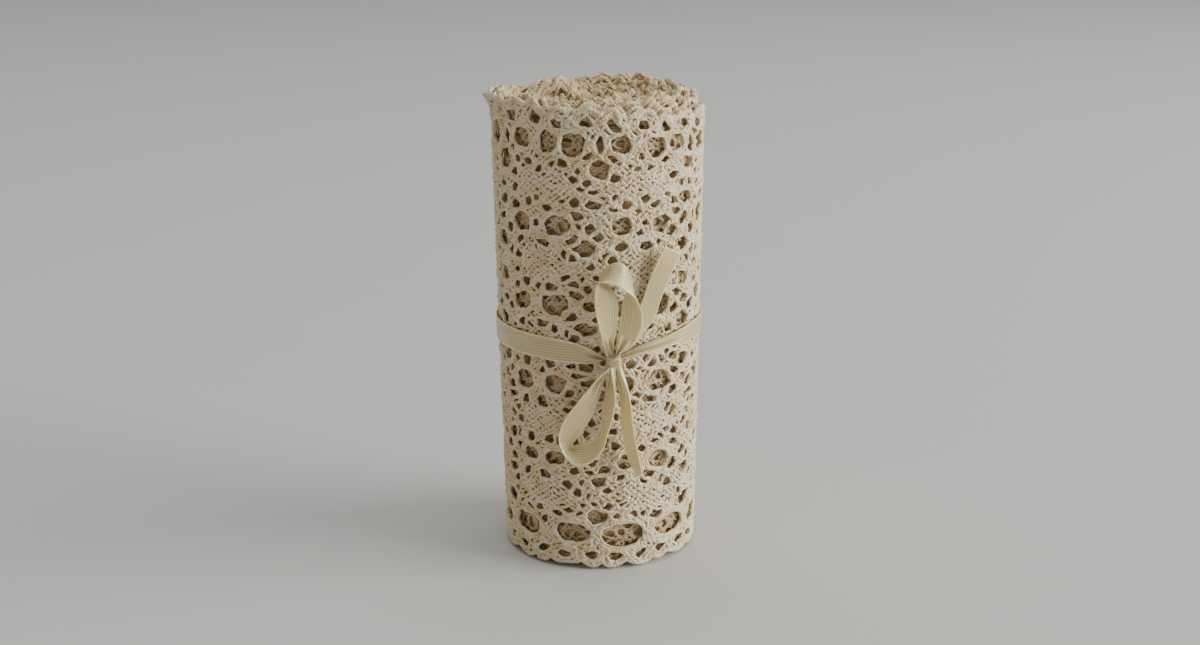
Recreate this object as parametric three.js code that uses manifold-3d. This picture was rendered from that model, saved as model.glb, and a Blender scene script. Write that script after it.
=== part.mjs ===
import * as THREE from 'three';
import { mergeVertices } from 'three/addons/utils/BufferGeometryUtils.js';
import Module from 'manifold-3d';

const wasm = await Module();
wasm.setup();

// Driving sizes in mm. The roll stands on its lower edge, +Z up, with its front towards -Y.
// The origin is the middle of its foot.
const LACE_WIDTH = 128;
const FOOT_RADIUS = 27.1;
const TOP_RADIUS = 29.0;
const TURN = 2.0;
const TURNS = 13;
const LEAN_FOOT_X = -0.4;
const LEAN_TOP_X = -1.2;
const OUTER_END_ANGLE = 100;

// The turns stand up unevenly from the end of the roll, and the lace edge is scalloped. The
// innermost turns are pushed in.
const STEPS_PER_TURN = 48;
const GROOVE_DEPTH = 2.4;
const PUSHED_IN = 6;
const PUSHED_TURNS = 3;
const EYE_DEPTH = 11;
const EDGE_DROP = 0.5;
const SCALLOP_HEIGHT = 1.0;
const TURN_UNEVENNESS = 0.7;
const OUTER_TURN_SLANT = 1.7;
const HIGH_SIDE_ANGLE = 200;
const SLANTED_TURNS = 2.2;
const FOOT_SCALLOP = 1.3;
const FOOT_INSET = 3.2;
const WALL_HEIGHTS = [102, 76, 50, 26];

// The lace pattern repeats about six times round the roll, counted from the front both ways.
const REPEATS_PER_TURN = 6;
const REPEAT_LENGTH = (Math.PI * (FOOT_RADIUS + TOP_RADIUS)) / REPEATS_PER_TURN;
const REPEATS = [-3, -2, -1, 0, 1, 2, 3];
const GAP_DEPTH = 1.9;
const GAP_SIDES = 8;
const SMALL_GAP = 5.5;
const SMALL_GAP_SIDES = 6;
const GAP_WANDER = 0.5;
const GAP_GROWTH = 0.12;
const WHOLE_NEAR_END = 5;

// The satin ribbon of the tie, and the small clearance between pieces that touch.
const RIBBON_THICKNESS = 1.0;
const CLEARANCE = 0.3;
const BAND_STEPS = 64;
const STEPS_PER_ROW = 2;

// The gaps of one repeat. Along the strip, 0 is the column of small flowers, and the large
// leaves lie half-way between two such columns. Gaps of 4 mm and less aren't cut.
const GAPS = [
  // along, up, wide, high
  [-13.0, 117.8, 5.2, 4.8],
  [-5.8, 118.0, 5.8, 5.6],
  [7.2, 118.0, 5.6, 5.6],
  [0.2, 112.0, 4.6, 4.6],
  [-1.2, 101.9, 4.8, 2.6],
  [-10.8, 96.3, 6.6, 4.8],
  [7.2, 96.4, 5.8, 5.0],
  [-3.0, 90.2, 5.4, 3.8],
  [-2.9, 80.2, 4.8, 2.8],
  [-12.0, 74.8, 7.2, 5.2],
  [6.8, 74.6, 6.0, 4.6],
  [-2.9, 68.4, 5.4, 3.6],
  [-2.6, 58.2, 4.8, 3.0],
  [-11.6, 53.0, 6.6, 4.8],
  [6.8, 52.6, 5.8, 4.4],
  [1.6, 46.6, 4.6, 3.0],
  [1.4, 36.6, 4.6, 2.8],
  [-12.1, 31.4, 5.8, 4.0],
  [8.4, 31.6, 5.2, 3.8],
  [0.2, 25.6, 4.8, 3.2],
  [-0.4, 16.2, 5.2, 3.4],
  [-7.3, 10.6, 10.4, 5.2],
  [7.1, 10.4, 9.8, 5.2],
];

// The ribbon's stretch round the roll, from the knot's left side round the back to its right
// side. Heading is in degrees from the front, and falls on the way round.
const BAND_ROWS = [
  // heading, lower edge, upper edge
  [3.2, 60.6, 62.0],
  [-4, 59.7, 63.9],
  [-13, 59.5, 65.4],
  [-23, 59.6, 66.0],
  [-34, 59.9, 66.2],
  [-70, 60.0, 66.5],
  [-110, 60.1, 66.3],
  [-150, 59.6, 65.8],
  [-190, 59.4, 65.6],
  [-230, 59.9, 66.1],
  [-270, 61.2, 67.1],
  [-295, 62.0, 67.2],
  [-316, 62.5, 66.1],
  [-333, 61.8, 64.7],
  [-342, 61.2, 63.5],
  [-347.4, 60.8, 62.4],
];

// The bow's loops and free ends, as rows of the ribbon's two edges. Across and up are seen from
// the front, and out is the stand-off from the roll's surface.
const UPPER_LOOP_ROWS = [
  // first edge: across, up, out; second edge: across, up, out
  [2.2, 63.4, 3.6, 3.0, 63.1, 2.2],
  [0.6, 67.5, 4.6, 3.8, 66.5, 1.6],
  [-0.6, 72.5, 5.8, 4.6, 71.7, 2.0],
  [-1.4, 78.0, 6.8, 4.6, 76.9, 3.4],
  [-1.2, 82.0, 7.7, 3.4, 80.6, 3.4],
  [-0.1, 83.6, 8.2, -0.1, 83.5, 2.8],
  [1.4, 83.8, 8.4, 1.2, 86.2, 3.6],
  [3.4, 83.4, 8.2, 3.4, 88.1, 4.8],
  [5.3, 82.1, 7.8, 5.8, 88.0, 5.2],
  [7.1, 80.6, 7.2, 7.6, 85.3, 4.2],
  [8.8, 79.2, 6.8, 8.4, 81.8, 2.6],
  [9.9, 77.4, 6.4, 7.3, 80.1, 2.4],
  [10.9, 74.7, 5.8, 6.2, 78.4, 2.8],
  [11.1, 70.8, 5.4, 5.5, 74.0, 3.0],
  [9.5, 67.1, 5.0, 4.9, 69.4, 3.4],
  [7.5, 64.7, 4.6, 4.3, 66.0, 3.8],
  [5.3, 63.3, 4.2, 4.2, 63.3, 3.6],
];

const UPPER_TAIL_ROWS = [
  [4.6, 63.0, 2.0, 5.4, 62.9, 2.0],
  [6.0, 65.7, 2.0, 8.9, 64.6, 2.1],
  [8.2, 70.5, 1.4, 11.4, 67.7, 1.6],
  [10.7, 75.8, 1.4, 14.3, 71.0, 1.3],
  [12.4, 80.9, 2.0, 16.0, 76.2, 1.8],
  [13.9, 85.1, 2.8, 17.9, 80.9, 2.6],
  [15.4, 88.4, 3.4, 19.4, 84.6, 3.2],
  [17.0, 91.0, 3.8, 21.4, 88.6, 3.6],
];

const LOWER_LOOP_ROWS = [
  [1.6, 59.2, 3.6, 2.1, 59.0, 2.4],
  [-0.8, 57.1, 4.2, 0.9, 55.9, 2.8],
  [-3.9, 53.1, 5.0, -0.3, 50.6, 2.8],
  [-6.9, 49.2, 5.8, -1.8, 46.4, 3.2],
  [-9.4, 45.8, 6.4, -3.8, 43.2, 3.6],
  [-10.7, 42.4, 6.8, -5.8, 40.1, 3.4],
  [-10.9, 39.5, 7.0, -7.3, 37.5, 2.6],
  [-10.0, 37.0, 7.0, -7.7, 36.0, 2.0],
  [-8.4, 34.5, 6.8, -6.8, 36.7, 2.2],
  [-6.3, 32.9, 6.6, -4.9, 37.8, 3.0],
  [-3.8, 33.2, 6.4, -2.5, 39.0, 3.4],
  [-1.3, 34.8, 6.4, -0.5, 40.4, 3.2],
  [0.9, 37.7, 6.2, 0.3, 42.3, 2.6],
  [2.1, 41.8, 6.2, 0.4, 45.6, 2.0],
  [3.4, 46.1, 6.1, 0.9, 49.2, 1.5],
  [4.2, 50.8, 5.8, 1.6, 52.8, 1.4],
  [4.1, 55.2, 4.8, 2.3, 55.9, 1.5],
  [3.5, 59.2, 3.8, 3.2, 59.2, 1.8],
];

const LOWER_TAIL_ROWS = [
  [4.5, 59.0, 1.8, 5.0, 59.1, 3.2],
  [4.9, 55.9, 1.4, 6.2, 56.7, 4.0],
  [5.4, 51.5, 1.2, 7.6, 52.6, 5.0],
  [5.6, 46.7, 1.2, 8.4, 48.0, 5.6],
  [5.8, 41.8, 1.2, 8.9, 43.1, 5.6],
  [6.6, 36.3, 1.2, 9.8, 38.0, 5.4],
  [7.9, 31.8, 1.4, 10.7, 33.2, 4.8],
  [10.3, 27.7, 1.8, 11.4, 28.9, 3.4],
];

// The knot's middle, half sizes and how square its corners are.
const KNOT = { across: 3.6, up: 61.1, out: 2.3, wide: 2.0, high: 1.5, deep: 1.9, squareness: 0.62 };
const KNOT_SIDES = 20;
const KNOT_RINGS = 12;

const fullCircle = 2 * Math.PI;
const radians = THREE.MathUtils.degToRad;
const mix = THREE.MathUtils.lerp;
const axisX = (z) => mix(LEAN_FOOT_X, LEAN_TOP_X, z / LACE_WIDTH);
const meanRadius = (z) => mix(FOOT_RADIUS, TOP_RADIUS, z / LACE_WIDTH);
const headingAngle = (heading) => radians(heading - 90);

// How far round from the strip's outer end a direction lies, from 0 to 1.
function shareOfTurn(angle) {
  const share = (angle - radians(OUTER_END_ANGLE)) / fullCircle;
  return share - Math.floor(share);
}

// The outside is a spiral, so its radius grows by one turn on the way round.
function wallRadius(angle, z) {
  return meanRadius(z) + TURN * (shareOfTurn(angle) - 0.5);
}

function place(radius, angle, z) {
  return new THREE.Vector3(axisX(z) + radius * Math.cos(angle), radius * Math.sin(angle), z);
}

function onRoll(across, up, out) {
  const radius = meanRadius(up) + out;
  const side = THREE.MathUtils.clamp(across - axisX(up), -radius, radius);
  return new THREE.Vector3(across, -Math.sqrt(radius * radius - side * side), up);
}

function meshGeometry(points, triangles) {
  const geometry = new THREE.BufferGeometry();
  const flat = points.flatMap((point) => point.toArray());
  geometry.setAttribute('position', new THREE.Float32BufferAttribute(flat, 3));
  geometry.setIndex(triangles.flat());
  return geometry;
}

function toSolid(geometry) {
  const bare = geometry.clone();
  bare.deleteAttribute('normal');
  bare.deleteAttribute('uv');
  const merged = mergeVertices(bare, 1e-4);
  return new wasm.Manifold(new wasm.Mesh({
    numProp: 3,
    vertProperties: new Float32Array(merged.getAttribute('position').array),
    triVerts: new Uint32Array(merged.getIndex().array),
  }));
}

function toGeometry(solid) {
  const mesh = solid.getMesh();
  const geometry = new THREE.BufferGeometry();
  geometry.setAttribute('position', new THREE.BufferAttribute(mesh.vertProperties, 3));
  geometry.setIndex(new THREE.BufferAttribute(mesh.triVerts, 1));
  geometry.computeVertexNormals();
  return geometry;
}

// Height of the lace edge along the strip: scallops, turns that stand unevenly, and outer turns
// that were wound on a slant.
function edgeHeight(step, lastStep) {
  const scallop = step % 2 === 0 ? SCALLOP_HEIGHT / 2 : -SCALLOP_HEIGHT / 2;
  const back = step - lastStep;
  const waves = 0.6 * Math.sin(0.23 * back + 2.06) + 0.4 * Math.sin(0.071 * back + 6.07);
  const turnsIn = -back / STEPS_PER_TURN;
  const pushed = THREE.MathUtils.clamp((turnsIn - TURNS + PUSHED_TURNS) / PUSHED_TURNS, 0, 1);
  const slant = THREE.MathUtils.clamp(1.5 - turnsIn / SLANTED_TURNS, 0, 1) * OUTER_TURN_SLANT;
  const angle = (fullCircle * back) / STEPS_PER_TURN + radians(OUTER_END_ANGLE);
  const lean = slant * (Math.cos(angle - radians(HIGH_SIDE_ANGLE)) - 0.4);
  const top = LACE_WIDTH - SCALLOP_HEIGHT / 2 - TURN_UNEVENNESS;
  return top + scallop + TURN_UNEVENNESS * waves + lean - PUSHED_IN * pushed ** 2;
}

// The wound strip as one body: a spiral of turns on top, the outer wall, and a flat foot.
function woundStrip() {
  const last = TURNS * STEPS_PER_TURN;
  const outerStart = last - STEPS_PER_TURN;
  const points = [];
  const triangles = [];
  const quad = (a, b, c, d) => triangles.push([a, b, c], [a, c, d]);
  const add = (radius, step, z) => {
    const angle = radians(OUTER_END_ANGLE) + (fullCircle * (step - last)) / STEPS_PER_TURN;
    return points.push(place(radius, angle, z)) - 1;
  };
  const height = (step) => edgeHeight(step, last);
  const ridgeRadius = (step) => TOP_RADIUS + (TURN * (step - last)) / STEPS_PER_TURN;
  const grooveHeight = (step) => Math.min(height(step), height(step + STEPS_PER_TURN)) - GROOVE_DEPTH;

  // Each turn has a ridge, and a groove or, on the last turn, the roll's upper edge outside it.
  const ridge = [];
  const outside = [];
  for (let step = 0; step <= last; step += 1) {
    const z = step >= outerStart ? height(step) - EDGE_DROP : grooveHeight(step);
    ridge.push(add(ridgeRadius(step), step, height(step)));
    outside.push(add(ridgeRadius(step) + TURN / 2, step, z));
  }
  const inside = [];
  for (let step = 0; step < STEPS_PER_TURN; step += 1) {
    inside.push(add(ridgeRadius(step) - TURN / 2, step, height(step) - GROOVE_DEPTH));
  }
  inside.push(...outside);
  for (let step = 0; step < last; step += 1) {
    quad(inside[step], ridge[step], ridge[step + 1], inside[step + 1]);
    quad(ridge[step], outside[step], outside[step + 1], ridge[step + 1]);
  }

  // The eye in the middle goes down as a narrow pit.
  const pit = points.push(new THREE.Vector3(LEAN_TOP_X, 0, LACE_WIDTH - EYE_DEPTH)) - 1;
  for (let step = 0; step < STEPS_PER_TURN; step += 1) {
    triangles.push([inside[step], inside[step + 1], pit]);
  }
  triangles.push([outside[0], ridge[0], pit], [ridge[0], inside[0], pit]);

  // The outer wall goes down in rows to the scalloped lower edge.
  const wallRow = (level, scallop) => {
    const row = [];
    for (let step = outerStart; step <= last; step += 1) {
      const radius = meanRadius(level) + TURN * ((step - last) / STEPS_PER_TURN + 0.5);
      row.push(add(radius, step, level + (step % 2 === 0 ? 0 : scallop)));
    }
    return row;
  };
  const rows = [outside.slice(outerStart)];
  WALL_HEIGHTS.forEach((level) => rows.push(wallRow(level, 0)));
  rows.push(wallRow(0, FOOT_SCALLOP));
  for (let r = 0; r + 1 < rows.length; r += 1) {
    const upper = rows[r];
    const lower = rows[r + 1];
    for (let k = 0; k < STEPS_PER_TURN; k += 1) {
      quad(upper[k], lower[k], lower[k + 1], upper[k + 1]);
    }
    quad(upper[STEPS_PER_TURN], lower[STEPS_PER_TURN], lower[0], upper[0]);
  }
  triangles.push([ridge[last], rows[0][STEPS_PER_TURN], rows[0][0]]);

  // The foot is a flat disc inside the scallops.
  const edge = rows[rows.length - 1];
  const foot = [];
  for (let k = 0; k < STEPS_PER_TURN; k += 1) {
    foot.push(add(FOOT_RADIUS - FOOT_INSET, k, 0));
  }
  foot.push(foot[0]);
  const middle = points.push(new THREE.Vector3(LEAN_FOOT_X, 0, 0)) - 1;
  for (let k = 0; k < STEPS_PER_TURN; k += 1) {
    quad(edge[k], foot[k], foot[k + 1], edge[k + 1]);
    triangles.push([foot[k], middle, foot[k + 1]]);
  }
  triangles.push([edge[STEPS_PER_TURN], foot[0], edge[0]]);
  return meshGeometry(points, triangles);
}

// One gap's cutter is an oval bar that points at the roll's axis and goes one turn deep.
function gapCutter(angle, up, wide, high) {
  const outline = new THREE.Shape();
  outline.absellipse(0, 0, wide / 2, high / 2, 0, fullCircle);
  const bar = new THREE.ExtrudeGeometry(outline, {
    depth: GAP_DEPTH + TURN,
    steps: 1,
    bevelEnabled: false,
    curveSegments: (wide < SMALL_GAP ? SMALL_GAP_SIDES : GAP_SIDES) / 2,
  });
  const outward = new THREE.Vector3(Math.cos(angle), Math.sin(angle), 0);
  const sideways = new THREE.Vector3(-Math.sin(angle), Math.cos(angle), 0);
  const frame = new THREE.Matrix4().makeBasis(sideways, new THREE.Vector3(0, 0, 1), outward);
  frame.setPosition(place(wallRadius(angle, up) - GAP_DEPTH, angle, up));
  return bar.applyMatrix4(frame);
}

// The strip runs once round from its outer end, and no gap is cut through that end.
function offTheTurn(angle) {
  const fromEnd = radians(OUTER_END_ANGLE) - angle;
  const margin = WHOLE_NEAR_END / FOOT_RADIUS;
  return fromEnd < margin || fromEnd > fullCircle - margin;
}

function laceRoll() {
  let solid = toSolid(woundStrip());
  REPEATS.forEach((repeat) => {
    GAPS.forEach(([along, up, wide, high], row) => {
      const wander = GAP_WANDER * Math.sin(5.1 * row + 2.3 * repeat);
      const rise = GAP_WANDER * Math.sin(3.7 * row + 4.1 * repeat);
      const grow = 1 + GAP_GROWTH * Math.sin(2.9 * row + 1.7 * repeat);
      const angle = headingAngle(0) + (along + wander + repeat * REPEAT_LENGTH) / meanRadius(up);
      if (offTheTurn(angle)) return;
      const cutter = gapCutter(angle, up + rise, wide * grow, high * grow);
      solid = solid.subtract(toSolid(cutter));
    });
  });
  return toGeometry(solid);
}

// A ribbon is a flat bar with eased edges, bent so that it runs between two edge curves.
const RIBBON_SECTION = [
  // across, through
  [-1, -0.4],
  [-0.86, -1],
  [0.86, -1],
  [1, -0.4],
  [1, 0.4],
  [0.86, 1],
  [-0.86, 1],
  [-1, 0.4],
];

function ribbonBetween(firstEdge, secondEdge, steps) {
  const outline = new THREE.Shape(RIBBON_SECTION.map(([u, v]) => new THREE.Vector2(u, v)));
  const bar = new THREE.ExtrudeGeometry(outline, { depth: 1, steps, bevelEnabled: false });
  const first = firstEdge.getPoints(steps);
  const second = secondEdge.getPoints(steps);
  const middle = first.map((point, k) => point.clone().lerp(second[k], 0.5));
  const position = bar.getAttribute('position');
  for (let i = 0; i < position.count; i += 1) {
    const k = Math.round(position.getZ(i) * steps);
    const forward = middle[Math.min(k + 1, steps)].clone().sub(middle[Math.max(k - 1, 0)]);
    const half = second[k].clone().sub(first[k]).multiplyScalar(0.5);
    const through = forward.cross(half).setLength(RIBBON_THICKNESS / 2);
    const point = middle[k].clone();
    point.addScaledVector(half, position.getX(i)).addScaledVector(through, position.getY(i));
    position.setXYZ(i, point.x, point.y, point.z);
  }
  bar.computeVertexNormals();
  return bar;
}

function bowRibbon(rows) {
  const first = rows.map(([across, up, out]) => onRoll(across, up, out));
  const second = rows.map((row) => onRoll(row[3], row[4], row[5]));
  const steps = (rows.length - 1) * STEPS_PER_ROW;
  return ribbonBetween(new THREE.CatmullRomCurve3(first), new THREE.CatmullRomCurve3(second), steps);
}

// The band lies on the roll. Just past the strip's raised outer end it runs straight on, to where
// it meets the turn below.
function bandRadius(angle, z) {
  const high = meanRadius(z) + TURN / 2;
  const bridge = Math.acos((high - TURN) / high);
  const past = Math.max(shareOfTurn(angle) * fullCircle - fullCircle / BAND_STEPS, 0);
  const straight = (high - TURN) / Math.cos(Math.max(bridge - past, 0));
  return Math.max(straight, wallRadius(angle, z)) + CLEARANCE + RIBBON_THICKNESS / 2;
}

function ribbonBand() {
  const edge = (column) => {
    const path = new THREE.CatmullRomCurve3(
      BAND_ROWS.map((row) => new THREE.Vector3(row[0], 0, row[column])),
    );
    const points = path.getSpacedPoints(BAND_STEPS).map(({ x: heading, z }) => {
      const angle = headingAngle(heading);
      return place(bandRadius(angle, z), angle, z);
    });
    return { getPoints: () => points };
  };
  return ribbonBetween(edge(1), edge(2), BAND_STEPS);
}

// The knot is a small rounded lump with the corners of pulled cloth.
function ribbonKnot() {
  const lump = new THREE.SphereGeometry(1, KNOT_SIDES, KNOT_RINGS);
  const position = lump.getAttribute('position');
  const square = (value) => Math.sign(value) * Math.abs(value) ** KNOT.squareness;
  const middle = onRoll(KNOT.across, KNOT.up, KNOT.out);
  for (let i = 0; i < position.count; i += 1) {
    const x = middle.x + KNOT.wide * square(position.getX(i));
    const z = middle.z + KNOT.high * square(position.getY(i));
    const y = middle.y - KNOT.deep * square(position.getZ(i));
    position.setXYZ(i, x, y, z);
  }
  lump.computeVertexNormals();
  return lump;
}

const cotton = { color: 0xcfc3ae, roughness: 0.95, metalness: 0 };
const satin = { color: 0xe0d8b8, roughness: 0.4, metalness: 0 };

function piece(name, geometry, finish) {
  const mesh = new THREE.Mesh(geometry, new THREE.MeshStandardMaterial(finish));
  mesh.name = name;
  return mesh;
}

const tie = new THREE.Group();
tie.add(
  piece('ribbon_band', ribbonBand(), satin),
  piece('ribbon_knot', ribbonKnot(), satin),
  piece('bow_loop_upper', bowRibbon(UPPER_LOOP_ROWS), satin),
  piece('bow_tail_upper', bowRibbon(UPPER_TAIL_ROWS), satin),
  piece('bow_loop_lower', bowRibbon(LOWER_LOOP_ROWS), satin),
  piece('bow_tail_lower', bowRibbon(LOWER_TAIL_ROWS), satin),
);

const laceRollWithBow = new THREE.Group();
laceRollWithBow.add(piece('lace_roll', laceRoll(), cotton), tie);

export default laceRollWithBow;
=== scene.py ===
# %% [markdown]
# # A roll of cotton lace, tied with a satin ribbon
# The real thing is one strip of lace trimming, 128 mm wide, wound thirteen times round itself and
# stood on its edge. A narrow ribbon goes once round it and is tied in a bow.
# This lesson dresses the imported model. The model stays as the fixed frame, and yarn and ribbon are
# built over it in mesh code. Everything is worked out in millimetres, and MM turns it into metres.

import math

import bpy
import numpy as np
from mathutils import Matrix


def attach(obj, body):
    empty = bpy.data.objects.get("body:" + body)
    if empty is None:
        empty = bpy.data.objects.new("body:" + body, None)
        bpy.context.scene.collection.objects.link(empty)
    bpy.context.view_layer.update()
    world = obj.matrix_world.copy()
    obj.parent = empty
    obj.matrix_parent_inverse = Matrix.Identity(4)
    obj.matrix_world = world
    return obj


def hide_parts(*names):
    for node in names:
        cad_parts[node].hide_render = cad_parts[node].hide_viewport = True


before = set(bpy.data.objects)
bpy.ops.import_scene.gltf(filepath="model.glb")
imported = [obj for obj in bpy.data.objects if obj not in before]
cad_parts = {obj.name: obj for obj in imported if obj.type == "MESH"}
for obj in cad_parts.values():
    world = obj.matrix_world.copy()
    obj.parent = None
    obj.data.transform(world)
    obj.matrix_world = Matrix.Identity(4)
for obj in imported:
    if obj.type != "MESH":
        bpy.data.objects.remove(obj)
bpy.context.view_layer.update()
MM = 0.001
print("nodes:", sorted(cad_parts))

# %% [markdown]
# ## Camera
# The photograph looks down on the roll by about 16 degrees from 0.45 m away. A plain camera with
# no shift gives the same slight taper towards the foot.

# %% Camera
CAMERA_BACK, CAMERA_HIGH = 436.4, 186.7
CAMERA_DOWN = 15.83
lens = bpy.data.cameras.new("camera")
lens.lens, lens.sensor_width = 48.6, 36
camera = bpy.data.objects.new("camera", lens)
camera.location = (0, -CAMERA_BACK * MM, CAMERA_HIGH * MM)
camera.rotation_euler = (math.radians(90 - CAMERA_DOWN), 0, 0)
bpy.context.scene.collection.objects.link(camera)
bpy.context.scene.camera = camera

# %% [markdown]
# ## The roll's surface
# The strip is a spiral, so each turn lies 2 mm outside the one before it. A place on it is given
# by a heading, in degrees round from the front, a height, and how far out it stands. Headings run
# on past a full circle: 360 degrees less is the same direction on the next turn in.

# %% Places on the roll
WIDTH, FOOT_RADIUS, TOP_RADIUS = 128.0, 27.1, 29.0
LEAN_FOOT_X, LEAN_TOP_X = -0.4, -1.2
TURN, TURNS, OUTER_END = 2.0, 13, 190.0


def mean_radius(z):
    return FOOT_RADIUS + (TOP_RADIUS - FOOT_RADIUS) * z / WIDTH


def axis_x(z):
    return LEAN_FOOT_X + (LEAN_TOP_X - LEAN_FOOT_X) * z / WIDTH


def wall_radius(heading, z):
    return mean_radius(z) + TURN * ((heading - OUTER_END) / 360 + 0.5)


def on_spiral(heading, z, out):
    angle = np.radians(heading - 90)
    radius = wall_radius(heading, z) + out
    return np.stack([axis_x(z) + radius * np.cos(angle), radius * np.sin(angle), z], -1)


def on_front(across, up, out):
    radius = mean_radius(up) + out
    return np.stack([across, -np.sqrt(radius**2 - (across - axis_x(up)) ** 2), up], -1)


print("radius at the foot and top:", mean_radius(0), mean_radius(WIDTH))

# %% [markdown]
# ## One call that makes a piece
# Every piece becomes a smooth-shaded mesh that rides on the one body. It carries two maps: `cloth`
# runs along and across the yarn or ribbon, for its twist or ribs, and `OFBake` is the piece laid
# out flat, on which a flat picture of its colours can be made later.


# %% Make a piece
def make_piece(name, points, faces, cloth, flat, finish):
    mesh = bpy.data.meshes.new(name)
    mesh.from_pydata(np.asarray(points) * MM, [], faces)
    for title, values in (("cloth", cloth), ("OFBake", flat)):
        layer = mesh.uv_layers.new(name=title)
        layer.data.foreach_set("uv", np.asarray(values, np.float32).ravel())
    mesh.polygons.foreach_set("use_smooth", np.ones(len(mesh.polygons), bool))
    mesh.materials.append(finish)
    piece = bpy.data.objects.new(name, mesh)
    bpy.context.scene.collection.objects.link(piece)
    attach(piece, "root")
    count = sum(len(face) - 2 for face in faces)
    print(f"{name}: {count} triangles")
    return piece


# %% [markdown]
# ## Smooth lines through measured rows
# The bow was measured as rows of the ribbon's two edges. A curve object could run through them, but
# its handles would have to be set for every row. This curve needs none and passes every row. Its
# pace between two rows goes by the square root of their distance, so that it doesn't overshoot
# where rows lie close together.


# %% Smooth lines
def smooth_line(rows, per_row):
    rows = np.asarray(rows, float)
    rows = np.vstack([2 * rows[0] - rows[1], rows, 2 * rows[-1] - rows[-2]])
    gaps = np.sqrt(np.linalg.norm(np.diff(rows, axis=0), axis=1)) + 1e-6
    knots = np.concatenate([[0], np.cumsum(gaps)])
    line = []
    for k in range(1, len(rows) - 2):
        p, t = rows[k - 1 : k + 3], knots[k - 1 : k + 3]
        for at in np.linspace(t[1], t[2], per_row, endpoint=False):
            a = [p[i] + (p[i + 1] - p[i]) * (at - t[i]) / (t[i + 1] - t[i]) for i in range(3)]
            b = [a[i] + (a[i + 1] - a[i]) * (at - t[i]) / (t[i + 2] - t[i]) for i in range(2)]
            line.append(b[0] + (b[1] - b[0]) * (at - t[1]) / (t[2] - t[1]))
    return np.array(line + [rows[-2]])


# %% [markdown]
# ## A ribbon between two edges
# Satin ribbon is thin and keeps its width. Where its two edges run closer together than that, the
# cloth between them has to go somewhere, and it folds into lengthwise pleats. So the strip is a
# closed band between its edge lines, and the missing width sets how deep two waves of pleats are.
# Only at a free end is the missing width cut off instead: there are no pleats in the last `cut`
# millimetres, and they fade in over as much again. The edges are a little thicker, like a woven
# selvedge. Each strip gives its points, its faces and its two maps.

# %% Ribbon strip
RIBBON_WIDTH, RIBBON_THICK = 6.0, 0.32
ACROSS, PLEATS, PLEAT_PHASE = 25, 2, 0.5
FLAT_SHARE = 0.82
SELVEDGE_FROM, SELVEDGE_EXTRA = 0.82, 0.45
CUT_LENGTH = 9.0


def ribbon_strip(first, second, outward=0.0, cut=0.0):
    middle, half = (first + second) / 2, (second - first) / 2
    along = np.concatenate([[0], np.cumsum(np.linalg.norm(np.diff(middle, axis=0), axis=1))])
    forward = np.gradient(middle, axis=0)
    through = np.cross(forward, half)
    through /= np.linalg.norm(through, axis=1)[:, None] + 1e-9
    u = np.linspace(-1, 1, ACROSS)
    share = 2 * np.linalg.norm(half, axis=1) / RIBBON_WIDTH
    depth = RIBBON_WIDTH / (4 * PLEATS) * np.sqrt(np.clip(1 - (share / FLAT_SHARE) ** 2, 0, 1))
    if cut:
        depth *= np.clip((along[-1] - along) / cut - 1, 0, 1)
    lift = depth[:, None] * (np.sin(PLEATS * np.pi * u + PLEAT_PHASE)[None] + outward)
    selvedge = 1 + SELVEDGE_EXTRA * (np.abs(u) > SELVEDGE_FROM)
    thick = RIBBON_THICK / 2 * selvedge * np.sqrt(1.02 - u**8)
    flat = middle[:, None] + half[:, None] * u[None, :, None]
    rings = np.concatenate(
        [
            flat + (lift + thick)[:, :, None] * through[:, None],
            (flat + (lift - thick)[:, :, None] * through[:, None])[:, ::-1],
        ],
        axis=1,
    )
    rows, size = rings.shape[:2]
    k, a = np.meshgrid(np.arange(rows - 1), np.arange(size), indexing="ij")
    corners = [(k, a), (k, a + 1), (k + 1, a + 1), (k + 1, a)]
    faces = np.stack([row * size + column % size for row, column in corners], -1).reshape(-1, 4)
    ends = [list(range(size))[::-1], list(range((rows - 1) * size, rows * size))]
    width = np.concatenate([u, u[::-1], u[:1]]) * RIBBON_WIDTH / 2
    cloth = np.stack([np.stack([along[row], width[column]], -1) for row, column in corners], -2)
    end_cloth = [np.stack([np.full(size, along[e]), width[:-1]], -1) for e in (0, -1)]
    unrolled = [np.stack([along[row] / along[-1], column / size], -1) for row, column in corners]
    flat_map = 0.02 + 0.94 * np.stack(unrolled, -2)
    corner = 0.98 + 0.01 * np.stack([np.cos(np.arange(size)), np.sin(np.arange(size))], -1)
    return (
        rings.reshape(-1, 3),
        faces.tolist() + ends,
        np.vstack([cloth.reshape(-1, 2), end_cloth[0][::-1], end_cloth[1]]),
        np.vstack([flat_map.reshape(-1, 2), corner, corner]),
    )


# %% [markdown]
# ## Finishes as expressions
# Shader maths reads best as ordinary sums. `Socket` wraps a node's output, and each operator adds
# the Math node that it stands for. `node` adds any other node: its type, its settings, and the
# values or links of its sockets.


# %% Shader helpers
class Socket:
    def __init__(self, tree, out):
        self.tree, self.out = tree, out

    def math(self, operation, *others, flip=False):
        values = [self, *others][::-1] if flip else [self, *others]
        return node(self.tree, "ShaderNodeMath", {"operation": operation}, dict(enumerate(values)))

    def __add__(self, other):
        return self.math("ADD", other)

    def __sub__(self, other):
        return self.math("SUBTRACT", other)

    def __mul__(self, other):
        return self.math("MULTIPLY", other)

    def __rsub__(self, other):
        return self.math("SUBTRACT", other, flip=True)

    __radd__, __rmul__ = __add__, __mul__


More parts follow.
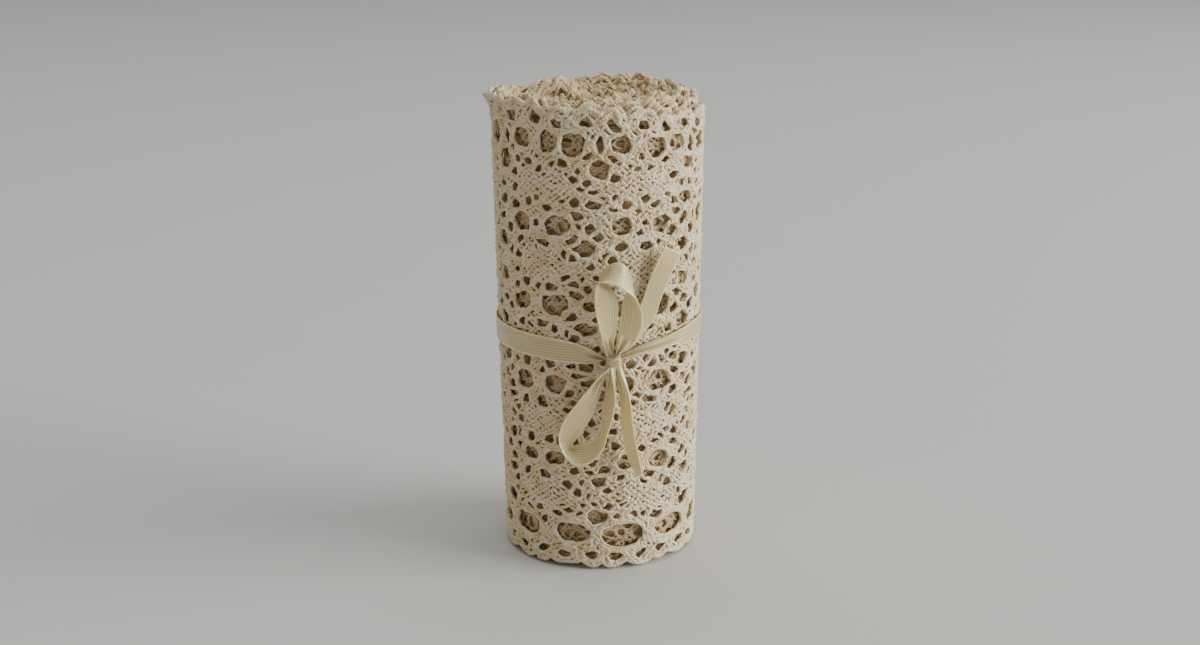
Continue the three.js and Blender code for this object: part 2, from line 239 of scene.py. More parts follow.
def node(tree, kind, settings, sockets, output=0):
    made = tree.nodes.new(kind)
    for key, value in settings.items():
        if key == "stops":
            ramp = made.color_ramp
            while len(ramp.elements) < len(value):
                ramp.elements.new(0.5)
            for element, (position, colour) in zip(ramp.elements, value):
                element.position, element.color = position, (*colour, 1)
        else:
            setattr(made, key, value)
    for key, value in sockets.items():
        if isinstance(value, Socket):
            tree.links.new(value.out, made.inputs[key])
        else:
            made.inputs[key].default_value = value
    return Socket(tree, made.outputs[output])


def new_finish(name, **surface):
    material = bpy.data.materials.new(name)
    material.use_nodes = True
    shader = material.node_tree.nodes["Principled BSDF"]
    for key, value in surface.items():
        shader.inputs[key.replace("_", " ")].default_value = value
    return material, material.node_tree, shader


def feed(tree, shader, **links):
    for key, value in links.items():
        tree.links.new(value.out, shader.inputs[key.replace("_", " ")])


# %% [markdown]
# ## Cotton yarn
# The lace is unbleached cotton, two strands twisted together. Up close the twist shows as slanting
# ridges, and the colour goes from tan through yellow cream to a greyer cream from yarn to yarn. A
# wave across the `cloth` map gives the ridges, and two noises give the drift and the fine fuzz. The
# ridge wave also goes into the colour, lighter on the crests and darker in the grooves: painted shade
# along with the bump. Waves and noises need no picture and suit a yarn of any length.


# %% Cotton finishes
def cotton(name, dark, yellow, grey, light):
    material, tree, shader = new_finish(name, Roughness=0.95)
    shader.inputs["Sheen Weight"].default_value = 0.25
    shader.inputs["Specular IOR Level"].default_value = 0.15
    cloth = node(tree, "ShaderNodeUVMap", {"uv_map": "cloth"}, {})
    along = node(tree, "ShaderNodeSeparateXYZ", {}, {0: cloth}, "X")
    around = node(tree, "ShaderNodeSeparateXYZ", {}, {0: cloth}, "Y")
    ridge = ((along * (2 * math.pi / 0.85) + around * (2 * math.pi * 2)).math("SINE") + 1) * 0.5
    place = node(tree, "ShaderNodeTexCoord", {}, {}, "Object")
    drift = node(tree, "ShaderNodeTexNoise", {}, {"Vector": place, "Scale": 260.0, "Detail": 4.0})
    fuzz = node(tree, "ShaderNodeTexNoise", {}, {"Vector": place, "Scale": 2600.0, "Detail": 2.0})
    # the ridge term lightens the crests of the twist and darkens its grooves: painted shade
    tone = drift * 1.1 + fuzz * 0.4 + ridge * 0.2 - 0.38
    stops = [(0.1, dark), (0.36, yellow), (0.52, grey), (0.68, light)]
    colour = node(tree, "ShaderNodeValToRGB", {"stops": stops}, {"Fac": tone})
    relief = ridge * 0.7 + fuzz * 0.5
    bump = node(
        tree, "ShaderNodeBump", {}, {"Height": relief, "Strength": 0.7, "Distance": 0.00018}
    )
    feed(tree, shader, Base_Color=colour, Normal=bump)
    return material


outer_cotton = cotton(
    "cotton_lace_outer", (0.46, 0.33, 0.16), (0.78, 0.63, 0.36), (0.76, 0.66, 0.505), (0.86, 0.75, 0.56)
)
# the turn below: a darker, browner copy of the same cotton, painted shade
second_cotton_painted_shade = cotton(
    "cotton_lace_second_painted_shade", (0.36, 0.24, 0.11), (0.55, 0.40, 0.21), (0.57, 0.44, 0.28), (0.66, 0.53, 0.35)
)
# the turns inside: the same cotton a little darker and yellower, painted warm shade between the turns
inner_cotton_painted_shade = cotton(
    "cotton_lace_inner_painted_shade", (0.44, 0.30, 0.13), (0.74, 0.57, 0.30), (0.75, 0.61, 0.40), (0.86, 0.72, 0.48)
)
# the roll's inside: the darkest, brownest copy of the cotton, painted shade
deep_cotton_painted_shade = cotton(
    "cotton_lace_deep_painted_shade", (0.36, 0.22, 0.10), (0.60, 0.42, 0.20), (0.66, 0.48, 0.28), (0.76, 0.58, 0.34)
)

# %% [markdown]
# ## Satin
# Satin ribbon is smooth and lightly shiny, with fine ribs along its length and yellower selvedges.
# The ribs are a sine across the width, and a faint second set crosses them. The ribs also go into the
# tone, lighter on top and darker in the furrows between them: painted shade. The selvedge pushes the
# tone past the ribbon's own colours, to the last stop. Subsurface scattering lets light through
# the thin cloth, so the faces turned from the window glow a little.

# %% Satin finish
satin, tree, shader = new_finish("satin_ribbon", Roughness=0.42)
shader.inputs["Sheen Weight"].default_value = 0.15
shader.inputs["Specular IOR Level"].default_value = 0.95
shader.inputs["Subsurface Weight"].default_value = 0.6
shader.inputs["Subsurface Scale"].default_value = 1.2 * MM
shader.inputs["Subsurface Radius"].default_value = (1.0, 0.95, 0.85)
cloth = node(tree, "ShaderNodeUVMap", {"uv_map": "cloth"}, {})
along = node(tree, "ShaderNodeSeparateXYZ", {}, {0: cloth}, "X")
across = node(tree, "ShaderNodeSeparateXYZ", {}, {0: cloth}, "Y")
ribs = ((across * (2 * math.pi / 0.7) + along * 0.5).math("SINE") + 1) * 0.5
weft = ((along * (2 * math.pi / 0.55) + across * 3).math("SINE") + 1) * 0.5
selvedge = ((across.math("ABSOLUTE") - 2.45) * 6.0).math("MINIMUM", 1.0).math("MAXIMUM", 0.0)
place = node(tree, "ShaderNodeTexCoord", {}, {}, "Object")
drift = node(tree, "ShaderNodeTexNoise", {}, {"Vector": place, "Scale": 90.0, "Detail": 2.0})
# the rib term lightens the rib tops and darkens the furrows between them: painted shade
tone = drift * 0.5 + ribs * 0.22 + selvedge * 0.7 - 0.1
stops = [(0.1, (0.52, 0.42, 0.2)), (0.5, (0.7, 0.6, 0.34)), (0.85, (0.86, 0.7, 0.29))]
colour = node(tree, "ShaderNodeValToRGB", {"stops": stops}, {"Fac": tone})
relief = ribs * 0.8 + weft * 0.3
bump = node(tree, "ShaderNodeBump", {}, {"Height": relief, "Strength": 0.5, "Distance": 0.00016})
feed(tree, shader, Base_Color=colour, Normal=bump, Roughness=ribs * 0.1 + 0.22)

# %% [markdown]
# ## The bow's two ends
# Each end of the ribbon makes one loop, goes through the knot and comes out as a free end. They are
# built as two loose ribbons, from the same measured rows as the model: for each edge, how far
# across and up it is seen from the front, and how far out it stands from the roll. The short rows
# inside the knot join a loop to its free end.

# %% Rows of the bow
UPPER_LOOP = [
    # first edge: across, up, out; second edge: across, up, out
    (3.2, 61.8, 3.2, 3.6, 61.7, 2.4),
    (2.2, 63.4, 3.6, 3.0, 63.1, 2.2),
    (0.6, 67.5, 4.6, 3.8, 66.5, 1.6),
    (-0.6, 72.5, 5.8, 4.6, 71.7, 2.0),
    (-1.4, 78.0, 6.8, 4.6, 76.9, 3.4),
    (-1.2, 82.0, 7.7, 3.4, 80.6, 3.4),
    (-0.1, 83.6, 8.2, -0.1, 83.5, 2.8),
    (1.4, 83.8, 8.4, 1.2, 86.2, 3.6),
    (3.4, 83.4, 8.2, 3.4, 88.1, 4.8),
    (5.3, 82.1, 7.8, 5.8, 88.0, 5.2),
    (7.1, 80.6, 7.2, 7.6, 85.3, 4.2),
    (8.8, 79.2, 6.8, 8.4, 81.8, 2.6),
    (9.9, 77.4, 6.4, 7.3, 80.1, 2.4),
    (10.9, 74.7, 5.8, 6.2, 78.4, 2.8),
    (11.1, 70.8, 5.4, 5.5, 74.0, 3.0),
    (9.5, 67.1, 5.0, 4.9, 69.4, 3.4),
    (7.5, 64.7, 4.6, 4.3, 66.0, 3.8),
    (5.3, 63.3, 4.2, 4.2, 63.3, 3.6),
]
UPPER_KNOT = [(4.2, 61.6, 3.3, 4.0, 61.5, 2.6)]
UPPER_END = [
    (4.6, 63.0, 2.0, 5.4, 62.9, 2.0),
    (6.0, 65.7, 2.0, 8.9, 64.6, 2.1),
    (8.2, 70.5, 1.4, 11.4, 67.7, 1.6),
    (10.7, 75.8, 1.4, 14.3, 71.0, 1.3),
    (12.4, 80.9, 2.0, 16.0, 76.2, 1.8),
    (13.9, 85.1, 2.8, 17.9, 80.9, 2.6),
    (15.4, 88.4, 3.4, 19.4, 84.6, 3.2),
    (17.0, 91.0, 3.8, 21.4, 88.6, 3.6),
]
LOWER_LOOP = [
    (2.9, 60.6, 3.4, 2.9, 60.5, 2.6),
    (1.6, 59.2, 3.6, 2.1, 59.0, 2.4),
    (-0.8, 57.1, 4.2, 0.9, 55.9, 2.8),
    (-3.9, 53.1, 5.0, -0.3, 50.6, 2.8),
    (-6.9, 49.2, 5.8, -1.8, 46.4, 3.2),
    (-9.4, 45.8, 6.4, -3.8, 43.2, 3.6),
    (-10.7, 42.4, 6.8, -5.8, 40.1, 3.4),
    (-10.9, 39.5, 7.0, -7.3, 37.5, 2.6),
    (-10.0, 37.0, 7.0, -7.7, 36.0, 2.0),
    (-8.4, 34.5, 6.8, -6.8, 36.7, 2.2),
    (-6.3, 32.9, 6.6, -4.9, 37.8, 3.0),
    (-3.8, 33.2, 6.4, -2.5, 39.0, 3.4),
    (-1.3, 34.8, 6.4, -0.5, 40.4, 3.2),
    (0.9, 37.7, 6.2, 0.3, 42.3, 2.6),
    (2.1, 41.8, 6.2, 0.4, 45.6, 2.0),
    (3.4, 46.1, 6.1, 0.9, 49.2, 1.5),
    (4.2, 50.8, 5.8, 1.6, 52.8, 1.4),
    (4.1, 55.2, 4.8, 2.3, 55.9, 1.5),
    (3.5, 59.2, 3.8, 3.2, 59.2, 1.8),
]
LOWER_KNOT = [(3.8, 60.6, 3.0, 3.6, 60.6, 2.6)]
LOWER_END = [
    (4.5, 59.0, 1.8, 5.0, 59.1, 3.2),
    (4.9, 55.9, 1.4, 6.2, 56.7, 4.0),
    (5.4, 51.5, 1.2, 7.6, 52.6, 5.0),
    (5.6, 46.7, 1.2, 8.4, 48.0, 5.6),
    (5.8, 41.8, 1.2, 8.9, 43.1, 5.6),
    (6.6, 36.3, 1.2, 9.8, 38.0, 5.4),
    (7.9, 31.8, 1.4, 10.7, 33.2, 4.8),
    (10.3, 27.7, 1.8, 11.4, 28.9, 3.4),
]
KNOT_ACROSS, KNOT_UP, KNOT_OUT = 3.6, 61.1, 2.3


# %% Loose ribbons
def loose_ribbon(name, rows, nodes):
    rows = np.array(rows)
    first = smooth_line(on_front(rows[:, 0], rows[:, 1], rows[:, 2]), 7)
    second = smooth_line(on_front(rows[:, 3], rows[:, 4], rows[:, 5]), 7)
    points, faces, cloth, flat = ribbon_strip(first, second, cut=CUT_LENGTH)
    piece = make_piece(name, points, faces, cloth, flat, satin)
    exit_point = on_front(KNOT_ACROSS, KNOT_UP, KNOT_OUT) * MM
    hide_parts(*nodes)


loose_ribbon("ribbon_upper", UPPER_LOOP + UPPER_KNOT + UPPER_END, ("bow_loop_upper", "bow_tail_upper"))
loose_ribbon("ribbon_lower", LOWER_LOOP + LOWER_KNOT + LOWER_END, ("bow_loop_lower", "bow_tail_lower"))

# %% [markdown]
# ## The stretch round the roll
# The same ribbon goes once round the roll. It lies flat at the left and the back, and is drawn
# together into lengthwise pleats where it runs to the knot. Where the strip of lace ends, at the
# back, the ribbon bridges the small step down to the next turn. For the smooth curve, ten degrees
# count as one millimetre.

# %% Ribbon round the roll
BAND = [
    # heading, lower edge, upper edge
    (3.2, 60.6, 62.0),
    (-4, 59.7, 63.9),
    (-13, 59.5, 65.4),
    (-23, 59.6, 66.0),
    (-34, 59.9, 66.2),
    (-70, 60.0, 66.5),
    (-110, 60.1, 66.3),
    (-150, 59.6, 65.8),
    (-190, 59.4, 65.6),
    (-230, 59.9, 66.1),
    (-270, 61.2, 67.1),
    (-295, 62.0, 67.2),
    (-316, 62.5, 66.1),
    (-333, 61.8, 64.7),
    (-342, 61.2, 63.5),
    (-347.4, 60.8, 62.4),
]
BAND_OUT = 0.5
BAND_SCALE = (10, 1, 1)


def band_edge(heading, z):
    heading = (heading + 170) % 360 - 170
    angle = np.radians(heading - 90)
    high = mean_radius(z) + TURN / 2
    bridge = np.arccos((high - TURN) / high)
    past = np.radians(heading + 170)
    straight = (high - TURN) / np.cos(np.maximum(bridge - past, 0))
    radius = np.maximum(straight, wall_radius(heading, z)) + BAND_OUT
    return np.stack([axis_x(z) + radius * np.cos(angle), radius * np.sin(angle), z], -1)


heading, lower, upper = (smooth_line(np.array(BAND) / BAND_SCALE, 16) * BAND_SCALE).T
band_strip = ribbon_strip(band_edge(heading, lower), band_edge(heading, upper), outward=-1.0)
band = make_piece("ribbon_round", *band_strip, satin)
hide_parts("ribbon_band")

# %% [markdown]
# ## The knot
# The knot is one tight wrap of the ribbon over the place where everything crosses. A strip wound
# through itself would hide most of its cloth inside, so only the outside of the wrap is built: a
# rounded lump, ridged by the folds of the wrap, which run up and to the right.

# %% Knot
KNOT_ROUND, KNOT_TALL = 56, 32
KNOT_HALF_SIZE = (1.95, 1.8, 1.5)
KNOT_SQUARENESS = 0.66
around, down = np.meshgrid(
    np.arange(KNOT_ROUND) * 2 * np.pi / KNOT_ROUND,
    np.linspace(0.04, np.pi - 0.04, KNOT_TALL),
    indexing="ij",
)
ball = np.stack([np.sin(down) * np.cos(around), np.sin(down) * np.sin(around), np.cos(down)], -1)
folds = 1 + 0.07 * np.sin(7 * (ball[..., 0] * 0.8 - ball[..., 2] * 1.5) + 2 * ball[..., 1])
lump = np.sign(ball) * np.abs(ball) ** KNOT_SQUARENESS * folds[..., None] * KNOT_HALF_SIZE
knot_points = (lump + on_front(KNOT_ACROSS, KNOT_UP, KNOT_OUT)).reshape(-1, 3)
k, a = np.meshgrid(np.arange(KNOT_ROUND), np.arange(KNOT_TALL - 1), indexing="ij")
after = (k + 1) % KNOT_ROUND
knot_faces = np.stack(
    [
        k * KNOT_TALL + a,
        k * KNOT_TALL + a + 1,
        after * KNOT_TALL + a + 1,
        after * KNOT_TALL + a,
    ],
    -1,
).reshape(-1, 4)
unrolled = np.stack([k, a, k, a + 1, k + 1, a + 1, k + 1, a], -1).reshape(-1, 2)
caps = [
    [row * KNOT_TALL for row in range(KNOT_ROUND)],
    [row * KNOT_TALL + KNOT_TALL - 1 for row in range(KNOT_ROUND)][::-1],
]
cap_map = np.repeat([[0.0, 0.0]], 2 * KNOT_ROUND, axis=0)
knot = make_piece(
    "ribbon_knot_wrap",
    knot_points,
    knot_faces.tolist() + caps,
    np.vstack([unrolled * [0.2, 0.1], cap_map]),
    np.vstack([0.02 + unrolled * [0.017, 0.028], cap_map + 0.99]),
    satin,
)
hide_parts("ribbon_knot")

# %% [markdown]
# ## The lace pattern as a chart
# Bobbin lace of this kind repeats along its length. Solid oval leaves alternate with columns of
# small openings, a row of large openings runs near each edge, and small ovals follow the scallops.
# The chart gives the openings of one repeat, in millimetres from the middle of such a column. The
# first list is the model's own gaps, with the lowest row a little larger, because yarn closes in
# round an opening. Two more lists are slits between them and the small openings round each of
# the four units of the column. The pattern of each turn further in is shifted along by SHIFT.

# %% Chart of the openings
REPEAT = math.pi * (FOOT_RADIUS + TOP_RADIUS) / 6
REPEATS = range(-3, 4)
SHIFT = 5.0
LARGE_OPENINGS = [
    # along, up, wide, high
    (-13.0, 117.8, 5.2, 4.8),
    (-5.8, 118.0, 5.8, 5.6),
    (7.2, 118.0, 5.6, 5.6),
    (0.2, 112.0, 4.6, 4.6),
    (-1.2, 101.9, 4.8, 2.6),
    (-10.8, 96.3, 6.6, 4.8),
    (7.2, 96.4, 5.8, 5.0),
    (-3.0, 90.2, 5.4, 3.8),
    (-2.9, 80.2, 4.8, 2.8),
    (-12.0, 74.8, 7.2, 5.2),
    (6.8, 74.6, 6.0, 4.6),
    (-2.9, 68.4, 5.4, 3.6),
    (-2.6, 58.2, 4.8, 3.0),
    (-11.6, 53.0, 6.6, 4.8),
    (6.8, 52.6, 5.8, 4.4),
    (1.6, 46.6, 4.6, 3.0),
    (1.4, 36.6, 4.6, 2.8),
    (-12.1, 31.4, 5.8, 4.0),
    (8.4, 31.6, 5.2, 3.8),
    (0.2, 25.6, 4.8, 3.2),
    (-0.4, 16.2, 5.2, 3.4),
    (-7.3, 10.2, 11.4, 5.6),
    (7.1, 10.0, 10.8, 5.6),
]
SLITS = [(1.2, 117.6, 1.7, 4.6), (-9.4, 113.4, 2.4, 1.8), (3.4, 121.0, 2.2, 1.6)]
UNIT_MIDDLES = (96.3, 74.7, 53.0, 31.5)
SMALL_OPENINGS = [
    # along, up from the unit's middle, wide, high, tilt
    (-2.0, 0.0, 3.2, 2.2, 8),
    (-6.3, 5.9, 2.6, 2.0, -30),
    (-13.4, 5.0, 2.8, 1.8, 10),
    (-5.5, 2.7, 3.6, 1.9, -12),
    (1.0, -2.6, 3.4, 2.0, 25),
    (-6.7, -2.8, 3.2, 2.0, 20),
    (-15.2, -5.1, 3.4, 2.2, -10),
    (6.8, -5.3, 2.6, 1.9, 30),
    (13.6, -5.3, 2.6, 1.9, -25),
    (8.6, 5.7, 2.6, 2.2, 20),
    (4.2, 4.6, 2.2, 1.8, -35),
    (2.6, -8.3, 2.4, 1.8, 15),
    (-8.2, -7.5, 2.6, 1.9, -20),
    (-8.4, -14.0, 2.6, 1.8, 12),
    (-11.7, -16.3, 3.4, 1.8, 0),
    (-6.2, 12.5, 2.8, 1.8, 15),
    (4.5, 12.7, 2.2, 1.8, -15),
    (4.5, 8.6, 2.2, 1.7, 30),
]
LEAF_MIDDLES = (107, 85.5, 64, 42.5, 21.3)
LEAF_WIDE, LEAF_HIGH = 18.0, 9.0
LOBES = 24
LOBE = 360 / LOBES


def chart_round(turn):
    chart = [(*row, 0, number) for number, row in enumerate(LARGE_OPENINGS)]
    chart += [(*row, 0, 24 + number) for number, row in enumerate(SLITS)]
    for unit, middle in enumerate(UNIT_MIDDLES):
        for dot, (along, up, *shape) in enumerate(SMALL_OPENINGS):
            chart.append((along, middle + up, *shape, 30 + 20 * unit + dot))
    found = []
    for repeat in REPEATS:
        for along, up, wide, high, tilt, row in chart:
            wander = 0.5 * math.sin(5.1 * row + 2.3 * repeat)
            rise = 0.5 * math.sin(3.7 * row + 4.1 * repeat)
            grow = 1 + 0.12 * math.sin(2.9 * row + 1.7 * repeat)
            place = along + wander + SHIFT * turn + repeat * REPEAT
            heading = math.degrees(place / (mean_radius(up) - TURN * turn))
            if OUTER_END - 350 < heading < OUTER_END - 10:
                found.append((place, up + rise, wide * grow, high * grow, tilt))
    for lobe in range(LOBES):
        jog = math.sin(3.1 * lobe + turn)
        for up, wide, high, tilt in ((122.9, 3.3, 2.0, -18), (4.1, 3.5, 2.1, 8)):
            along = math.radians(OUTER_END - LOBE * lobe) * (mean_radius(up) - TURN * turn)
            size = 1 + 0.16 * math.sin(1.9 * lobe + up)
            found.append((along + 0.7 * jog, up + 0.3 * jog, wide * size, high, tilt + 22 * jog))
    return np.array(found)


outer_chart = chart_round(0)
leaves = np.array([(REPEAT * (k + 0.5), up) for up in LEAF_MIDDLES for k in REPEATS])
print(f"{len(outer_chart)} charted openings and {len(leaves)} leaves round the outer turn")

# %% [markdown]
# ## Small eyes in the ground
# Round the charted openings the ground is worked in half stitch, which leaves small slanting eyes
# of about 1.5 mm wherever there is room. They are put on a staggered grid with a little scatter,
# and one is left out where it would run into a leaf or another opening.


# %% Eyes
EYE_STEP, EYE_RISE, EYE_SCATTER = 3.8, 2.9, 0.4
EYES_END, EYE_MARGIN = 116, 1.75


def outside_leaves(spots, margin):
    away = (spots[:, None] - leaves[None]) / (LEAF_WIDE / 2 + margin, LEAF_HIGH / 2 + margin)
    return (np.hypot(away[..., 0], away[..., 1]) > 1).all(1)


def ground_eyes(chart, low):
    rng = np.random.default_rng(5)
    eyes = []
    for row, up in enumerate(np.arange(low, EYES_END, EYE_RISE)):
        reach = mean_radius(up) * np.radians([-168, 188])
        along = np.arange(reach[0] + EYE_STEP / 2 * (row % 2), reach[1], EYE_STEP)
        spots = np.stack([along, np.full(len(along), up)], -1)
        spots += rng.normal(size=spots.shape) * EYE_SCATTER
        away = (spots[:, None] - chart[None, :, :2]) / (chart[None, :, 2:4] / 2 + EYE_MARGIN)
        free = (np.hypot(away[..., 0], away[..., 1]) > 1).all(1) & outside_leaves(spots, -0.6)
        for spot in spots[free]:
            wide = rng.uniform(1.5, 2.4)
            eyes.append((*spot, wide, wide * rng.uniform(0.6, 0.8), rng.choice([-35, 35])))
    return np.array(eyes)


eyes = ground_eyes(outer_chart, 13.2)
outer_chart = np.vstack([outer_chart, eyes])
print(f"{len(eyes)} small eyes in the ground")

# %% [markdown]
# ## Threads that part round the openings
# Weaving a real chart bobbin by bobbin would take pages. What shows is simpler: two families of
# yarn cross on the slant, over and under each other, and wherever there is an opening they part,
# run round it and close up again. So the yarns start as a regular slanting weave, and each one is
# pushed sideways out of every opening that it meets. A few rounds of easing and pushing spread
# the push over its neighbours, which bundles the yarns at the rims as in the real lace.

# %% Part the threads
STEP_ALONG, STEP_UP = 1.1091, 0.8038
EDGE_TOP, EDGE_FOOT = 126.2, 0.8
YARN = 0.49
EASINGS = 7


def between(values, inside, axis):
    total = np.zeros_like(values)
    count = np.zeros(inside.shape)
    for step in (1, -1):
        total += np.roll(values * inside[..., None], step, axis)
        count += np.roll(inside, step, axis)
    return np.where(count[..., None] > 0, total / np.maximum(count, 1)[..., None], values)


def meet(flat, opening, direction):
    along, up, wide, high, tilt = opening
    half = np.array([wide, high]) / 2 + YARN
    cos, sin = math.cos(math.radians(tilt)), math.sin(math.radians(tilt))
    turned = np.array([[cos, sin], [-sin, cos]])
    ahead = turned @ direction / half
    ahead = ahead / np.hypot(*ahead)
    left = np.array([-ahead[1], ahead[0]])
    close = np.nonzero(np.abs(flat - (along, up)).max(1) < 13)[0]
    offset = (flat[close] - (along, up)) @ turned.T / half
    u, w = offset @ ahead, offset @ left
    near = (np.abs(u) < 3) & (np.abs(w) < 2.6)
    side = np.where(w < 0, -1.0, 1.0)
    wanted = side * (np.abs(w) ** 2.5 + np.exp(-1.25 * u**2)) ** 0.4
    sideways = (left * half) @ turned
    push = (wanted - w)[near, None] * sideways
    return close[near], push, (side[near], np.array([along, up]), turned, half, ahead, left, sideways)


def part_threads(rest, inside, direction, chart, spread, edge):
    flat = rest.reshape(-1, 2)
    moved = np.zeros_like(flat)
    meetings = []
    for opening in chart:
        hit, push, frame_of_opening = meet(flat, opening, direction)
        moved[hit] += push
        meetings.append((hit, frame_of_opening))
    moved = moved.reshape(rest.shape)
    for _ in range(EASINGS):
        eased = 0.5 * between(moved, inside, 1) + 0.5 * moved
        moved = 0.85 * eased + 0.15 * between(eased, inside, 0)
        moved[edge, 1] = 0
        flat_moved = moved.reshape(-1, 2)
        for hit, (side, middle, turned, half, ahead, left, sideways) in meetings:
            offset = (flat[hit] + flat_moved[hit] - middle) @ turned.T / half
            u, w = offset @ ahead, (offset @ left) * side
            rim = np.sqrt(np.maximum(1 - u**2, 0)) * spread.reshape(-1)[hit]
            short = np.maximum(rim - w, 0) * (np.abs(u) < 1)
            flat_moved[hit] += (short * side)[:, None] * sideways
    moved[edge, 1] = 0
    return rest + moved


# %% [markdown]
# ## Scallops, and turns that stand unevenly
# The upper and lower edges run in scallops, 24 to a turn. The strip was wound by hand, so the
# turns also stand a little higher and lower on the way round, and the outer ones were wound on a
# slant: high at the left, low at the right, while the turns inside them stand higher at the back
# and the right. Near the upper edge the turns sway and crumple, and at the left a corner of the
# outer one sticks out. Left of the middle the turns part round a hollow, in the same way as the
# threads part round an opening, and behind it they rise in an arch.

# %% Shape of the edges
SLANT_HEADING = 290.0
CORNER_HEADING = -84.0
HOLLOW_HEADING, HOLLOW_RADIUS = -115.0, 12.6
HOLLOW_WIDE, HOLLOW_LONG, HOLLOW_DIP = 4.4, 6.0, 3.0
ARCH_X, ARCH_Y, ARCH_WIDE, ARCH_RISE = -9.0, 9.5, 4.0, 2.8
BACK_HEADING, BACK_RISE = 140.0, 2.6
STEPS_PER_TURN = 48
UNEVENNESS, SLANT, SLANTED_TURNS = 0.7, 1.7, 2.2
PUSHED_IN, PUSHED_TURNS = 6.0, 3
CORNER_WIDE, CORNER_OUT, CORNER_UP = 6.0, 1.6, 0.5


def part_turns(points, spiral, share):
    x, y = points[..., 0] - axis_x(points[..., 2]), points[..., 1]
    radius = np.hypot(x, y)
    bearing = (np.degrees(np.arctan2(x, -y)) - HOLLOW_HEADING + 180) % 360 - 180
    u = np.radians(bearing) * HOLLOW_RADIUS / HOLLOW_LONG
    w = radius - HOLLOW_RADIUS
    side = np.sign(TOP_RADIUS + TURN * ((spiral - OUTER_END) / 360 + 0.5) - 0.7 - HOLLOW_RADIUS)
    opened = HOLLOW_WIDE**2 * np.exp(-1.25 * u**2) * share
    scale = side * (np.sqrt(w**2 + opened) - np.abs(w)) / radius
    dip = HOLLOW_DIP * share * np.exp(-((w / 6) ** 2) - (u - 0.6) ** 2)
    behind = ((x - ARCH_X) ** 2 + (y - ARCH_Y) ** 2) / ARCH_WIDE**2
    arch = ARCH_RISE * share * np.exp(-behind)
    return points + np.stack([x * scale, y * scale, arch - dip], -1)


def turn_rise(heading):
    back = (heading - OUTER_END) * STEPS_PER_TURN / 360
    turns_in = -back / STEPS_PER_TURN
    waves = 0.6 * np.sin(0.23 * back + 2.06) + 0.4 * np.sin(0.071 * back + 6.07)
    slant = np.clip(1.5 - turns_in / SLANTED_TURNS, 0, 1) * SLANT
    pushed = np.clip((turns_in - TURNS + PUSHED_TURNS) / PUSHED_TURNS, 0, 1)
    bundle = np.clip((turns_in - 0.6) / 0.6, 0, 1) * np.clip((7 - turns_in) / 4, 0, 1)
    back_rise = BACK_RISE * bundle * np.clip(np.cos(np.radians(heading - BACK_HEADING)), 0, 1)
    slanted = slant * (np.cos(np.radians(heading - SLANT_HEADING)) - 0.4)
    return UNEVENNESS * waves + slanted + back_rise - PUSHED_IN * pushed**2


def lay_on_turn(along, up, out, turn):
    heading = np.degrees(along / (mean_radius(up) - TURN * turn))
    spiral = heading - 360 * turn
    along_lobes = heading - OUTER_END + 2.4 * np.sin(spiral / 6.1)
    lobe = np.abs(np.cos(np.pi * along_lobes / LOBE)) ** 0.8
    lobe = lobe * (1 + 0.3 * np.sin(spiral / 9.3) + 0.2 * np.sin(spiral / 5.1 + 2))
    top = np.clip(up - 121, 0, None)
    foot = np.clip(6 - up, 0, None)
    z = up + top * 0.34 * (lobe - 0.6) + foot * 0.3 * np.clip(1 - lobe, 0, 1)
    z = z + np.clip((up - 98) / 28, 0, 1) ** 2 * turn_rise(spiral)
    lean = np.clip((up - 112) / 14, 0, 1) ** 2
    near_edge = np.clip(top / 5, 0, 1)
    sway = 0.4 * np.sin(spiral / 11.0) + 0.3 * np.sin(spiral / 4.7 + 1.0)
    flare = 0.5 * np.sin(spiral * np.pi / LOBE * 0.93) * near_edge
    crumple = np.sin(1.31 * along + 0.9 * up) + np.sin(2.17 * along - 1.4 * up + turn)
    loose = np.where(turn == 0, 0.5, 1.0)
    corner = np.exp(-(((spiral - CORNER_HEADING) / CORNER_WIDE) ** 2))
    corner = corner * np.clip((up - 119) / 7, 0, 1) ** 2
    out = out + lean * (loose * (sway + flare) - 0.2) + 0.25 * near_edge * crumple
    out = out + CORNER_OUT * corner
    ruffle = np.sin(1.73 * along + 2 * turn) + 0.7 * np.sin(2.71 * along + 4.4 * turn)
    z = z + 0.3 * near_edge * ruffle + CORNER_UP * corner
    return part_turns(on_spiral(spiral, z, out), spiral, lean)


# %% [markdown]
# ## Spin the yarn
# A yarn is a thin tube round a line, and all the yarns of a piece are spun in one go. Each row of
# a yarn says how far along and up the strip it lies, how far out it stands, how thick it is and
# on which turn. One side of every ring faces out of the roll, which keeps the tubes from
# twisting, and the shading is smooth, so that five sides are enough.


# %% Yarn tubes
TIP = 0.4


